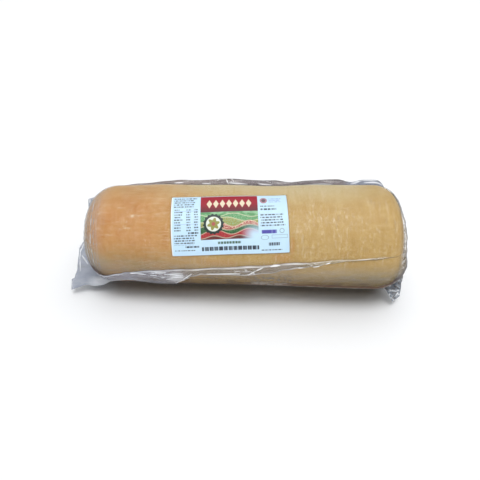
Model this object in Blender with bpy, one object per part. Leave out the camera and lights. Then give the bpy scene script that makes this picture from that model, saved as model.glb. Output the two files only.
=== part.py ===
"""A smoked mozzarella log sealed in a clear vacuum bag, with a paper label.

The pack lies along X, its front at -Y, and rests on z = 0 on its flattened underside.
An angle round it is 0 at the front, 90 degrees at the top and 180 at the back.
"""

import math

import bmesh
import bpy
from mathutils import Vector

# Driving dimensions, in metres. The right end of the log is the fatter one.
PACK_LENGTH = 0.308
LEFT_RADIUS = 0.0488
RIGHT_RADIUS = 0.0520
LEFT_ROUNDING = 0.027
RIGHT_ROUNDING = 0.022
END_DOME = 0.0022
FLATTENED = 0.0018
SIDE_SWELL = 0.010

# The log's radius wanders by this much, in two slow waves of so many radians a metre.
UNEVENNESS = 0.0003
SLOW_WAVE = 38
QUICK_WAVE = 83

# The soft right end has sagged towards the front, over this much of the log's length.
END_SAG = 0.0036
END_SAG_ANGLE = math.radians(5)
END_SAG_LENGTH = 0.045

# The label, wrapped on the upper front and stuck on a little askew.
LABEL_WIDTH = 0.106
LABEL_HEIGHT = 0.057
LABEL_CORNER = 0.0012
LABEL_MIDDLE_X = -0.0101
LABEL_MIDDLE_ANGLE = math.radians(56.9)
LABEL_SKEW = math.radians(3.35)
LABEL_THICKNESS = 0.00035
LABEL_GAP = 0.00035

# How deep the roots of folds and seams sit in the log, so that they join it.
ROOT_DEPTH = 0.003

# The bag's side fold stands up along the back: (x, height of its edge over the log).
BACK_FIN_ANGLE = math.radians(139)
BACK_FIN_BASE = math.radians(1.6)
BACK_FIN_LEAN = math.radians(1.5)
BACK_FIN_WAVE = 120
BACK_FIN_HEIGHTS = (
    (-0.128, 0.0005),
    (-0.100, 0.0035),
    (-0.060, 0.0058),
    (-0.020, 0.0066),
    (0.030, 0.0068),
    (0.048, 0.0042),
    (0.066, 0.0060),
    (0.096, 0.0070),
    (0.109, 0.0045),
    (0.122, 0.0068),
    (0.137, 0.0068),
    (0.146, 0.0010),
)

# The other side fold lies down the front. Where it leaves the log's skin climbs to the
# right, by so many radians a metre. Its edge hangs this far below that line, and this
# far off the skin.
SEAM_MIDDLE_ANGLE = math.radians(6)
SEAM_CLIMB = math.radians(138)
FLAP_FOOT = math.radians(2.5)
FLAP_DROPS = (
    (-0.132, math.radians(30)),
    (-0.066, math.radians(31)),
    (-0.046, math.radians(8)),
    (0.010, math.radians(9)),
    (0.050, math.radians(5)),
    (0.090, math.radians(2)),
    (0.146, math.radians(1.5)),
)
FLAP_LIFTS = (
    (-0.132, 0.0008),
    (-0.066, 0.0012),
    (-0.046, 0.0016),
    (0.010, 0.0024),
    (0.050, 0.0018),
    (0.090, 0.0011),
    (0.146, 0.0003),
)

# The bag's end seams stand on the ends, along the diameter that joins its two side folds.
# A place along that diameter is over 0 towards the front corner, which is the lower one.
# Each edge is (place along the diameter, reach beyond the end of the log).
SEAM_PLANE = math.radians(-42)
SEAM_THICKNESS = 0.0012
SEAM_DEPTH = 0.012
SEAM_NARROWING = 0.86
LEFT_EDGE = (
    (-0.045, -0.0140),
    (-0.038, -0.0060),
    (-0.034, 0.0030),
    (-0.026, 0.0030),
    (-0.020, 0.0010),
    (-0.006, 0.0010),
    (0.006, 0.0066),
    (0.018, 0.0118),
    (0.037, 0.0130),
    (0.0465, 0.0152),
    (0.0485, 0.0182),
    (0.0590, 0.0180),
)
RIGHT_EDGE = (
    (-0.050, -0.0090),
    (-0.040, 0.0000),
    (-0.020, 0.0020),
    (0.008, 0.0050),
    (0.024, 0.0106),
    (0.038, 0.0090),
    (0.048, 0.0063),
    (0.058, 0.0045),
    (0.0645, -0.0020),
)

# The ears at the lower front corners: how far back along the log each begins, how far
# its lower edge curves in, and the height of its crumples.
LEFT_EAR_LENGTH = 0.040
RIGHT_EAR_LENGTH = 0.020
EAR_ROOT_PLACE = 0.046
EAR_CURVE = 0.0028
EAR_SHARPNESS = 6
LEFT_EAR_CRUMPLE = 0.0003
RIGHT_EAR_CRUMPLE = 0.0016
CRUMPLE_WAVES = (900, 700)

LOG_STEPS_ROUND = 48
LOG_STEPS_ALONG = 20
ROUNDING_STEPS = 6
RIDGE_STEPS = 40
SEAM_STEPS_ALONG = 36
SEAM_STEPS_OUT = 6
LABEL_STEPS_ALONG = 20
LABEL_STEPS_ROUND = 12


def eased(stops, position):
    """The value at a position, eased from one (position, value) stop to the next."""
    for (start, low), (end, high) in zip(stops, stops[1:]):
        if position <= end:
            share = max(0.0, (position - start) / (end - start))
            return low + (high - low) * share * share * (3 - 2 * share)
    return stops[-1][1]


def mesh_object(name, bm):
    """An object of its own, made from a finished bmesh with its faces turned outwards."""
    bmesh.ops.recalc_face_normals(bm, faces=bm.faces)
    mesh = bpy.data.meshes.new(name)
    bm.to_mesh(mesh)
    bm.free()
    mesh.shade_smooth()
    mesh.set_sharp_from_angle(angle=math.radians(35))
    made = bpy.data.objects.new(name, mesh)
    bpy.context.scene.collection.objects.link(made)
    return made


def give_material(made, name, colour, roughness):
    material = bpy.data.materials.new(name)
    material.use_nodes = True
    shader = material.node_tree.nodes["Principled BSDF"]
    shader.inputs["Base Color"].default_value = (*colour, 1)
    shader.inputs["Roughness"].default_value = roughness
    shader.inputs["Metallic"].default_value = 0
    made.data.materials.append(material)


# The log's own form


def straight_radius(x):
    """The log's radius at x, tapered and a little uneven, before its ends round off."""
    share = x / PACK_LENGTH + 0.5
    wave = math.sin(x * SLOW_WAVE + 3.7) + 0.6 * math.sin(x * QUICK_WAVE + 2.1)
    return LEFT_RADIUS + (RIGHT_RADIUS - LEFT_RADIUS) * share + UNEVENNESS * wave


def skin_radius(x):
    """The log's radius at x, with its ends rounded off."""
    radius = straight_radius(x)
    for end, rounding in ((-1, LEFT_ROUNDING), (1, RIGHT_ROUNDING)):
        into = rounding - (PACK_LENGTH / 2 - END_DOME - end * x)
        if into > 0:
            radius -= rounding - math.sqrt(max(0.0, rounding**2 - into**2))
    return radius


def axis_height(x):
    return straight_radius(x) * (1 - SIDE_SWELL) - FLATTENED


def round_point(x, angle, radius):
    """The point at a radius from the log's axis, on its slightly swollen section."""
    across = radius * (1 + SIDE_SWELL) * math.cos(angle)
    up = radius * (1 - SIDE_SWELL) * math.sin(angle)
    near_end = max(0.0, 1 - (PACK_LENGTH / 2 - x) / END_SAG_LENGTH)
    facing = max(0.0, math.cos(angle - END_SAG_ANGLE)) * min(1, radius / RIGHT_RADIUS)
    sag = END_SAG * (near_end * facing) ** 2
    return Vector((x + sag, -across, axis_height(x) + up))


def skin_point(x, angle, lift):
    return round_point(x, angle, skin_radius(x) + lift)


def end_outline(end, rounding):
    """(x, radius) from the middle of an end out to where the log's side begins."""
    face = PACK_LENGTH / 2 - END_DOME
    flat = straight_radius(end * face) - rounding
    points = [
        (end * (face + END_DOME * (1 - share * share)), flat * share)
        for share in (0, 0.4, 0.75)
    ]
    for step in range(ROUNDING_STEPS + 1):
        turn = math.radians(90) * step / ROUNDING_STEPS
        x = end * (face - rounding + rounding * math.cos(turn))
        points.append((x, skin_radius(x)))
    return points


def log_body():
    """The log as the film holds it: a turned shape with a flat underside."""
    left = end_outline(-1, LEFT_ROUNDING)
    right = end_outline(1, RIGHT_ROUNDING)
    start, end = left[-1][0], right[-1][0]
    side = []
    for step in range(1, LOG_STEPS_ALONG):
        x = start + (end - start) * step / LOG_STEPS_ALONG
        side.append((x, skin_radius(x)))
    outline = left + side + right[::-1]

    bm = bmesh.new()
    verts = [bm.verts.new((x, 0, radius)) for x, radius in outline]
    edges = [bm.edges.new(pair) for pair in zip(verts, verts[1:])]
    bmesh.ops.spin(
        bm,
        geom=verts + edges,
        cent=(0, 0, 0),
        axis=(1, 0, 0),
        angle=math.tau,
        steps=LOG_STEPS_ROUND,
        use_merge=True,
    )
    bmesh.ops.remove_doubles(bm, verts=bm.verts, dist=1e-6)
    for vert in bm.verts:
        x, y, z = vert.co
        vert.co = round_point(x, math.atan2(z, -y), math.hypot(y, z))
    cut = bmesh.ops.bisect_plane(
        bm,
        geom=list(bm.verts) + list(bm.edges) + list(bm.faces),
        plane_co=(0, 0, 0),
        plane_no=(0, 0, 1),
        clear_inner=True,
    )
    rim = [part for part in cut["geom_cut"] if isinstance(part, bmesh.types.BMEdge)]
    bmesh.ops.contextual_create(bm, geom=rim)
    return mesh_object("vacuum_pack", bm)


# The bag's folds and seams


def ridge(name, stations, section):
    """A closed ridge along the log: section(x) gives the corners of its cross-section."""
    bm = bmesh.new()
    rings = []
    for x in stations:
        corners = [bm.verts.new(point) for point in section(x)]
        rings.append(
            [bm.edges.new((a, b)) for a, b in zip(corners, corners[1:] + corners[:1])]
        )
    for ring, following in zip(rings, rings[1:]):
        bmesh.ops.bridge_loops(bm, edges=ring + following)
    for ring in (rings[0], rings[-1]):
        bmesh.ops.contextual_create(bm, geom=ring)
    return mesh_object(name, bm)


def stations_between(start, end):
    return [start + (end - start) * step / RIDGE_STEPS for step in range(RIDGE_STEPS + 1)]


def back_fin():
    """The back fold: a thin wall that leans to and fro, under an uneven edge."""

    def section(x):
        lean = BACK_FIN_LEAN * math.sin(x * BACK_FIN_WAVE)
        return (
            skin_point(x, BACK_FIN_ANGLE - BACK_FIN_BASE, -ROOT_DEPTH),
            skin_point(x, BACK_FIN_ANGLE + lean, eased(BACK_FIN_HEIGHTS, x)),
            skin_point(x, BACK_FIN_ANGLE + BACK_FIN_BASE, -ROOT_DEPTH),
        )

    start, end = BACK_FIN_HEIGHTS[0][0], BACK_FIN_HEIGHTS[-1][0]
    return ridge("back_fin", stations_between(start, end), section)


def front_flap():
    """The front fold: wide and slack towards the left corner, a thin crease at the right."""

    def section(x):
        root = SEAM_MIDDLE_ANGLE + SEAM_CLIMB * x
        edge = root - eased(FLAP_DROPS, x)
        return (
            skin_point(x, root, -ROOT_DEPTH),
            skin_point(x, root, 0.0002),
            skin_point(x, edge, eased(FLAP_LIFTS, x)),
            skin_point(x, edge - FLAP_FOOT, -ROOT_DEPTH),
        )

    start, end = FLAP_DROPS[0][0], FLAP_DROPS[-1][0]
    return ridge("front_flap", stations_between(start, end), section)


def seam_plane_point(end, along, reach, bulge):
    """A point by its place along the end seam's diameter and its reach past the end."""
    across = Vector((0, -math.cos(SEAM_PLANE), math.sin(SEAM_PLANE)))
    outward = Vector((0, math.sin(SEAM_PLANE), math.cos(SEAM_PLANE)))
    face = end * PACK_LENGTH / 2
    middle = Vector((face + end * reach, 0, axis_height(face)))
    return middle + across * along + outward * bulge


def end_seam(name, end, edge, ear_length, crumple):
    """An end seam with its ear: a sheet from inside the log out to the seam's free edge."""
    first, last = edge[0][0], edge[-1][0]
    inner_first = SEAM_NARROWING * first
    bm = bmesh.new()
    bmesh.ops.create_grid(
        bm, x_segments=SEAM_STEPS_ALONG, y_segments=SEAM_STEPS_OUT, size=1
    )
    for vert in bm.verts:
        share = (vert.co.x + 1) / 2
        out = (vert.co.y + 1) / 2
        earward = share**EAR_SHARPNESS
        edge_place = first + (last - first) * share
        inner_place = inner_first + (EAR_ROOT_PLACE - inner_first) * share
        inner_reach = -SEAM_DEPTH - (ear_length - SEAM_DEPTH) * earward
        place = inner_place + (edge_place - inner_place) * out
        place -= EAR_CURVE * earward * math.sin(math.pi * out)
        reach = inner_reach + (eased(edge, edge_place) - inner_reach) * out
        fold = math.sin(reach * CRUMPLE_WAVES[0]) * math.cos(place * CRUMPLE_WAVES[1])
        vert.co = seam_plane_point(end, place, reach, crumple * out * earward * fold)
    bmesh.ops.solidify(bm, geom=bm.faces, thickness=SEAM_THICKNESS)
    return mesh_object(name, bm)


def join_folds(body, folds):
    """Joins the folds and seams to the log as one closed solid."""
    group = bpy.data.collections.new("folds")
    for fold in folds:
        group.objects.link(fold)
    union = body.modifiers.new("join_folds", "BOOLEAN")
    union.operation = "UNION"
    union.solver = "EXACT"
    union.operand_type = "COLLECTION"
    union.collection = group
    joined = body.evaluated_get(bpy.context.evaluated_depsgraph_get())
    mesh = bpy.data.meshes.new_from_object(joined)
    body.modifiers.clear()
    body.data = mesh
    for fold in folds:
        bpy.data.objects.remove(fold)
    bpy.data.collections.remove(group)


def paper_label():
    """A thin sheet that follows the log's skin, with its four corners cut round."""
    bm = bmesh.new()
    bmesh.ops.create_grid(
        bm, x_segments=LABEL_STEPS_ALONG, y_segments=LABEL_STEPS_ROUND, size=1
    )
    for vert in bm.verts:
        vert.co.x *= LABEL_WIDTH / 2
        vert.co.y *= LABEL_HEIGHT / 2
    corners = [vert for vert in bm.verts if len(vert.link_edges) == 2]
    bmesh.ops.bevel(
        bm,
        geom=corners,
        offset=LABEL_CORNER,
        segments=3,
        profile=0.5,
        affect="VERTICES",
        material=-1,
    )
    bmesh.ops.solidify(bm, geom=bm.faces, thickness=LABEL_THICKNESS)
    lowest = min(vert.co.z for vert in bm.verts)
    for vert in bm.verts:
        x, y, z = vert.co
        along = LABEL_MIDDLE_X + x * math.cos(LABEL_SKEW) - y * math.sin(LABEL_SKEW)
        up = x * math.sin(LABEL_SKEW) + y * math.cos(LABEL_SKEW)
        angle = LABEL_MIDDLE_ANGLE + up / straight_radius(along)
        vert.co = skin_point(along, angle, LABEL_GAP + z - lowest)
    return mesh_object("paper_label", bm)


def stand_on_origin(pieces):
    """Moves the pieces together so that the pack's box stands centred on the origin."""
    points = [vert.co for piece in pieces for vert in piece.data.vertices]
    low = [min(point[axis] for point in points) for axis in range(3)]
    high = [max(point[axis] for point in points) for axis in range(3)]
    move = Vector((-(low[0] + high[0]) / 2, -(low[1] + high[1]) / 2, -low[2]))
    for piece in pieces:
        for vert in piece.data.vertices:
            vert.co += move


def main():
    for left_over in list(bpy.data.objects):
        bpy.data.objects.remove(left_over)
    pack = log_body()
    folds = [
        back_fin(),
        front_flap(),
        end_seam("left_end_seam", -1, LEFT_EDGE, LEFT_EAR_LENGTH, LEFT_EAR_CRUMPLE),
        end_seam("right_end_seam", 1, RIGHT_EDGE, RIGHT_EAR_LENGTH, RIGHT_EAR_CRUMPLE),
    ]
    join_folds(pack, folds)
    label = paper_label()
    stand_on_origin([pack, label])
    give_material(pack, "smoked_cheese_in_film", (0.60, 0.40, 0.19), 0.35)
    give_material(label, "label_paper", (0.78, 0.86, 0.93), 0.5)


main()
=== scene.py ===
"""Looks of a smoked mozzarella log, sealed in a clear vacuum bag with a paper label.

The cheese lies in a tight skin of film. The slack film stands off it: a fin along the back,
a flap along the front, and a sealed web with a corner ear across each end.
Places on the log are given as in its CAD source: x along the log from its middle, an angle
round it that is 0 at the front, 90 degrees at the top and 180 at the back, and a lift off
the bag's skin. Lengths are in metres.
"""

from math import atan2, cos, hypot, pi, radians, sin, sqrt, tau

import bmesh
import bpy
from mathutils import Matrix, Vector, noise


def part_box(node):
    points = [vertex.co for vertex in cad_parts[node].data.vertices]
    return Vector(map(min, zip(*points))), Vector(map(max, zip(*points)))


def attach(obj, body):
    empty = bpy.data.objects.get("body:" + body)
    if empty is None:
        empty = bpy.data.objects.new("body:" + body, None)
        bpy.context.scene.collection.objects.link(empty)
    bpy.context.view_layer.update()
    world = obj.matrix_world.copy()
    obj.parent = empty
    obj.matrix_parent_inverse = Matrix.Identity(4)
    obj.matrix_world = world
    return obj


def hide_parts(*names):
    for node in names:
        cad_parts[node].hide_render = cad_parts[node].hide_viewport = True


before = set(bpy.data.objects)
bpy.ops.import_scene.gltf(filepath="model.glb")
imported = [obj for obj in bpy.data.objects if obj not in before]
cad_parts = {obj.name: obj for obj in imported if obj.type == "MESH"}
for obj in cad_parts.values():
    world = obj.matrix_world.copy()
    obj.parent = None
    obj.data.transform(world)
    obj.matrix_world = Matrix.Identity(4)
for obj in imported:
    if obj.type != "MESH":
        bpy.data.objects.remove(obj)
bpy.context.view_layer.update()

# The log's driving dimensions. Its right end is the fatter one.
PACK_LENGTH = 0.308
LEFT_RADIUS = 0.0488
RIGHT_RADIUS = 0.052
LEFT_ROUNDING = 0.027
RIGHT_ROUNDING = 0.022
END_DOME = 0.0022
FLATTENED = 0.0018
SIDE_SWELL = 0.01
UNEVENNESS = 0.0003
SLOW_WAVE = 38
SLOW_WAVE_START = 3.7
QUICK_WAVE = 83
QUICK_WAVE_START = 2.1
QUICK_WAVE_SHARE = 0.6
END_SAG = 0.0036
END_SAG_ANGLE = radians(5)
END_SAG_LENGTH = 0.045

# The left ear reaches this far past the log's end, which places the log in the pack's box.
LEFT_EAR_REACH = 0.0182
PACK_LOW, PACK_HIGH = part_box("vacuum_pack")
LOG_MIDDLE = Vector((PACK_LOW.x + LEFT_EAR_REACH + PACK_LENGTH / 2, 0, PACK_LOW.z))
LOG_MIDDLE.y = PACK_HIGH.y - RIGHT_RADIUS * (1 + SIDE_SWELL)
LOG_LEFT = LOG_MIDDLE.x - PACK_LENGTH / 2
LOG_RIGHT = LOG_MIDDLE.x + PACK_LENGTH / 2

# The cheese inside the film: how much shorter it is at each end, and thinner all round.
LEFT_END_GAP = 0.001
RIGHT_END_GAP = 0.0016
SKIN_GAP = 0.0003
REST_GAP = 0.0001

# How finely the log is turned: its steps round, along, across an end and over a rim.
STEPS_ROUND = 180
STEPS_ALONG = 160
STEPS_ACROSS_END = 10
STEPS_OVER_RIM = 14

# The log's own soft dents: (depth, waves a metre).
DENTS = ((0.00035, 24), (0.00012, 75))

# The film. Over the right end it hangs loose, most of all a little below the middle.
FILM_THICKNESS = 0.00012
LOOSE_BULGE = 0.002
LOOSE_LENGTH = 0.012
LOOSE_ANGLE = radians(-5)

# Pleats in the film over the ends. They start and rise over lengths from an end, and have
# waves a metre along the web, off it and along the log.
PLEAT_HEIGHT = 0.0011
PLEAT_SINK = 0.2
PLEAT_START = 0.02
PLEAT_RISE = 0.018
PLEAT_WAVES = (150, 22, 9)

# The right end swells a little, low at the front.
CORNER_SWELL = 0.0056
CORNER_LENGTH = 0.032
CORNER_ANGLE = radians(-32)
CORNER_NARROWING = 1.6

# Slack film starts this far off the skin.
SHEET_LIFT = 0.0001

# The back fin. A fold is a straight crease that stands up in the slack film and catches the light,
# with a painted glint along it. On the fin it runs from one (x, share of the height) to another.
FIN_ANGLE = radians(139)
FIN_SPREAD = radians(6)
FIN_LEAN = radians(1.5)
FIN_WAVE = 120
FIN_HEIGHTS = (
    (-0.128, 0.0002), (-0.1, 0.0026), (-0.078, 0.004), (-0.06, 0.0052), (-0.02, 0.0066),
    (0.03, 0.0064), (0.048, 0.004), (0.066, 0.0054), (0.096, 0.0062), (0.109, 0.004),
    (0.122, 0.0062), (0.137, 0.006), (0.146, 0.0006),
)
FIN_FOLD_GLINTS = (
    ((-0.07, 0.4), (-0.061, 0.45)), ((-0.042, 0.35), (-0.033, 0.3)),
    ((-0.0175, 0.9), (-0.015, 0.3)), ((-0.014, 0.38), (0.005, 0.28)),
    ((0.016, 0.4), (0.0295, 0.3)), ((0.064, 0.2), (0.09, 0.25)),
    ((0.11, 0.7), (0.1205, 0.75)), ((0.109, 0.4), (0.118, 0.62)),
    ((0.121, 0.8), (0.135, 0.84)), ((0.123, 0.45), (0.14, 0.5)),
)
FIN_FOLD_WIDTH = 0.0009
FIN_STEPS = (320, 32)
FIN_CRUMPLE = 0.0004
FIN_CRUMPLE_WAVES = 110
FIN_FULL_HEIGHT = 0.006
FIN_CREST = 0.1

# The front flap, from its upper line to its foot, in degrees round the log. Its folds, each with a
# painted glint along it, run from one (x, degrees) to another.
FLAP_TOP = (
    (-0.144, -29), (-0.134, -15), (-0.116, -7.5), (-0.108, -4), (-0.084, 0.6), (-0.051, 4.4),
    (-0.018, 8), (0.014, 11.7), (0.054, 16.7), (0.098, 21.3), (0.134, 24.8), (0.146, 26),
)
FLAP_FOOT = (
    (-0.144, -36), (-0.134, -30), (-0.106, -22), (-0.095, -25), (-0.079, -31), (-0.067, -31),
    (-0.056, -18), (-0.044, -6.6), (-0.036, -2.9), (0.0, -1.9), (0.028, 1.8), (0.041, 6.8),
    (0.055, 10), (0.068, 11.7), (0.081, 15.8), (0.099, 19.2), (0.121, 21.3), (0.134, 24),
    (0.146, 25.2),
)
FLAP_LIFTS = (
    (-0.144, 0.0003), (-0.134, 0.0006), (-0.1, 0.0009), (-0.066, 0.0015), (-0.044, 0.0015),
    (0.01, 0.0022), (0.05, 0.0016), (0.09, 0.0009), (0.146, 0.0003),
)
FLAP_FOLD_GLINTS = (
    ((-0.1167, -6.2), (-0.1139, -6.8)), ((-0.1038, -4.4), (-0.098, -4.0)),
    ((-0.098, -4.2), (-0.0885, -4.6)), ((-0.0849, -6.4), (-0.0782, -6.0)),
    ((-0.0845, -2.6), (-0.069, -0.2)), ((-0.0756, -8.6), (-0.0709, -8.8)),
    ((-0.0712, -3.3), (-0.0532, -1.6)), ((-0.0701, -13.2), (-0.063, -11.2)),
    ((-0.0655, -9.4), (-0.0531, -7.3)), ((-0.0648, -8.2), (-0.0531, -6.4)),
    ((-0.0627, -24.2), (-0.0529, -12.4)), ((-0.0658, -5.3), (-0.0534, -4.3)),
    ((-0.054, -12.0), (-0.045, -1.0)), ((-0.031, -0.6), (0.0005, 1.7)),
    ((0.0076, 0.4), (0.0149, 6.9)), ((0.0149, 6.9), (0.0212, 10.8)),
    ((0.0275, 12.2), (0.0365, 13.8)), ((0.053, 10.9), (0.0575, 11.4)),
    ((0.0665, 12.5), (0.072, 13.6)), ((0.0776, 16.2), (0.0815, 17.7)),
)
FLAP_FOLD_WIDTH = 0.0008
FLAP_FOLD_HEIGHT = 0.0005
FLAP_RIM = 0.0007
FLAP_STEPS = (420, 56)
FLAP_CRUMPLE = 0.0004
FLAP_CRUMPLE_WAVES = 190
# Two patches of the flap, a milky one and a clear one: (x, degrees, half length, half height).
FLAP_MILKY = (-0.06, -10.5, 0.012, 0.01)
FLAP_CLEAR = (-0.086, -15.0, 0.015, 0.0055)

# The end webs, along the diameter that joins the fin to the flap. Their folds, each with a painted
# glint along it, run from one (place along the web, reach past the log's end) to another.
WEB_PLANE = radians(-42)
WEB_DEPTH = 0.012
WEB_NARROWING = 0.86
WEB_ALONG = Vector((0, -cos(WEB_PLANE), sin(WEB_PLANE)))
WEB_OFF = Vector((0, sin(WEB_PLANE), cos(WEB_PLANE)))
WEB_STEPS = (150, 60)
WEB_FOLD_WIDTH = 0.0008
WEB_FOLD_HEIGHT = 0.0006
EAR_ROOT_PLACE = 0.046
EAR_SHARPNESS = 6
# Each web has its edge, by place and reach, and the bow of its ear's lower edge, by the share of
# the way out along it. Its painted shade beside the log goes by place, painted light where it is
# under 0, and fades over a share of the web's depth. Its crumples have a height and waves a metre.
LEFT_WEB = {
    "edge": (
        (-0.045, -0.014), (-0.038, -0.006), (-0.034, 0.0046), (-0.027, 0.0044),
        (-0.02, 0.001), (-0.006, 0.001), (0.006, 0.0066), (0.018, 0.0118),
        (0.037, 0.013), (0.0465, 0.0152), (0.0485, 0.0182), (0.059, 0.018),
    ),
    "folds": (
        ((0.009, 0.0062), (0.02, 0.0102)), ((0.017, 0.0103), (0.0285, 0.0108)),
        ((0.027, 0.0106), (0.04, 0.0098)), ((0.0235, 0.0088), (0.0327, 0.0021)),
        ((-0.0345, 0.003), (-0.03, 0.003)), ((0.0131, 0.0051), (0.03, -0.0003)),
        ((0.029, 0.0), (0.0369, -0.0042)), ((0.036, -0.0038), (0.0424, -0.0092)),
        ((0.0416, -0.0086), (0.0472, -0.0181)),
    ),
    "ear_length": 0.04,
    "bow": (
        (0.0, 0.0), (0.3, 0.0006), (0.46, -0.0014), (0.58, -0.001), (0.74, 0.002), (1.0, 0.0),
    ),
    "shade": ((-0.045, -0.18), (0.059, -0.18)),
    "shaded": 0.7,
    "crumpled": 0.0006,
    "waves": 40,
}
RIGHT_WEB = {
    "edge": (
        (-0.05, -0.009), (-0.04, 0.0), (-0.02, 0.002), (0.008, 0.005),
        (0.024, 0.01), (0.038, 0.0078), (0.048, 0.0062), (0.058, 0.0048), (0.0645, -0.002),
    ),
    "folds": (
        ((0.052, -0.006), (0.0545, 0.003)), ((0.0545, 0.003), (0.059, 0.0)),
        ((0.048, 0.001), (0.05, 0.005)), ((0.059, -0.006), (0.0625, -0.001)),
    ),
    "ear_length": 0.016,
    "bow": ((0.0, 0.0), (0.5, 0.0028), (1.0, 0.0)),
    "shade": (
        (-0.02, 0.1), (0.012, 0.5), (0.026, 0.6), (0.038, 1.2), (0.0495, 1.2), (0.0535, 0.0),
    ),
    "shaded": 1.3,
    "crumpled": 0.0018,
    "waves": 210,
}

# The label.
LABEL_WIDTH = 0.106
LABEL_HEIGHT = 0.057
LABEL_STEPS = (106, 57)
LABEL_CORNER = 0.0012
LABEL_MIDDLE_X = -0.0101
LABEL_MIDDLE_ANGLE = radians(56.9)
LABEL_SKEW = radians(3.35)
LABEL_LEVEL = cos(LABEL_SKEW)
LABEL_TILT = sin(LABEL_SKEW)
LABEL_THICKNESS = 0.0003
LABEL_LIFT = 0.00036
LABEL_SHADE_REACH = 0.0018
LEFT_PANEL_END = 0.026
RIGHT_PANEL_START = 0.08
NAME_PANEL_TOP = 0.044

# The studio's lamps: (energy, width, turn about x and y), the last two in degrees.
OVERHEAD = (1.1, 22, (4.4, 4))
OVERHEAD_WIDE = (2.03, 80, (-10.5, 8))
FRONT_FILL = (1.25, 60, (72, 0))
FLOOR_GLOW = (0.24, 60, (0, 0))
FLOOR_GLOW_COLOUR = (0.9, 0.96, 1.0)
SURROUND_STRENGTH = 0.05

# The floor: half its width, its colour, and how far it lies under the pack.
FLOOR_REACH = 4
FLOOR_COLOUR = (0.94, 0.95, 0.965, 1)
FLOOR_ROUGHNESS = 0.9
FLOOR_GAP = 0.00005

# The view: where the camera aims, from which side and how high, how far away, and its lens.
VIEW_AIM = LOG_MIDDLE + Vector((-0.0016, 0, 0.0406))
VIEW_SIDE = radians(1.99)
VIEW_RISE = radians(45)
VIEW_DISTANCE = 0.44
LENS_MM = 32.15


def eased(stops, position):
    """The value at a position, eased from one (position, value) stop to the next."""
    for (start, low), (end, high) in zip(stops, stops[1:]):
        if position <= end:
            share = max(0.0, (position - start) / (end - start))
            return low + (high - low) * share * share * (3 - 2 * share)
    return stops[-1][1]


def held(value):
    """The value, held between 0 and 1."""
    return min(1.0, max(0.0, value))


def straight_radius(x):
    """The pack's radius at x, tapered and a little uneven, before its ends round off."""
    share = x / PACK_LENGTH + 0.5
    wave = sin(x * SLOW_WAVE + SLOW_WAVE_START)
    wave += QUICK_WAVE_SHARE * sin(x * QUICK_WAVE + QUICK_WAVE_START)
    return LEFT_RADIUS + (RIGHT_RADIUS - LEFT_RADIUS) * share + UNEVENNESS * wave


def skin_radius(x):
    """The pack's radius at x, with its ends rounded off."""
    radius = straight_radius(x)
    for end, rounding in ((-1, LEFT_ROUNDING), (1, RIGHT_ROUNDING)):
        into = rounding - (PACK_LENGTH / 2 - END_DOME - end * x)
        if into > 0:
            radius -= rounding - sqrt(max(0.0, rounding**2 - into**2))
    return radius


def axis_height(x):
    return straight_radius(x) * (1 - SIDE_SWELL) - FLATTENED


def round_point(x, angle, radius):
    """The point at a radius from the log's axis, on its slightly swollen section."""
    across = radius * (1 + SIDE_SWELL) * cos(angle)
    up = radius * (1 - SIDE_SWELL) * sin(angle)
    near_end = max(0.0, 1 - (PACK_LENGTH / 2 - x) / END_SAG_LENGTH)
    facing = max(0.0, cos(angle - END_SAG_ANGLE)) * min(1, radius / RIGHT_RADIUS)
    sag = END_SAG * (near_end * facing) ** 2
    return LOG_MIDDLE + Vector((x + sag, -across, axis_height(x) + up))


def skin_point(x, angle, lift):
    return round_point(x, angle, skin_radius(x) + lift)


def placed(name, data):
    """A new object in the scene."""
    thing = bpy.data.objects.new(name, data)
    bpy.context.scene.collection.objects.link(thing)
    return thing


def shaped(name, bm, *materials):
    """A new object with the mesh that a bmesh makes."""
    mesh = bpy.data.meshes.new(name)
    bm.to_mesh(mesh)
    bm.free()
    for material in materials:
        mesh.materials.append(material)
    return placed(name, mesh)


def finished(name, bm, slot, node, *materials, smooth_angle=60):
    """The piece that a bmesh makes, riding on the pack in place of a CAD node."""
    piece = shaped(name, bm, *materials)
    piece.data.shade_smooth()
    piece.data.set_sharp_from_angle(angle=radians(smooth_angle))
    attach(piece, "root")
    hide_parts(node)
    return piece


# Shader maths


def operation(name, turned=False):
    """A method for a maths node of a field and others. Turned, the field comes last."""

    def work(self, *others):
        values = (*others, self) if turned else (self, *others)
        return self.finish.node("Math", values, operation=name)

    return work


class Field:
    """A number or colour that changes over a surface, which Python's operators extend."""

    def __init__(self, finish, socket):
        self.finish = finish
        self.socket = socket

    __add__ = __radd__ = operation("ADD")
    __sub__ = operation("SUBTRACT")
    __rsub__ = operation("SUBTRACT", turned=True)
    __mul__ = __rmul__ = operation("MULTIPLY")
    __truediv__ = operation("DIVIDE")
    __pow__ = operation("POWER")
    __abs__ = operation("ABSOLUTE")
    whole = operation("FLOOR")
    sine = operation("SINE")
    least = operation("MINIMUM")
    most = operation("MAXIMUM")
    turn_from = operation("ARCTAN2")

    def rise(self, low, high):
        """0 up to low and 1 from high on, eased between them. Low may be the larger number."""
        values = {"Value": self, "From Min": low, "From Max": high}
        return self.finish.node("MapRange", values, interpolation_type="SMOOTHSTEP")


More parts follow.
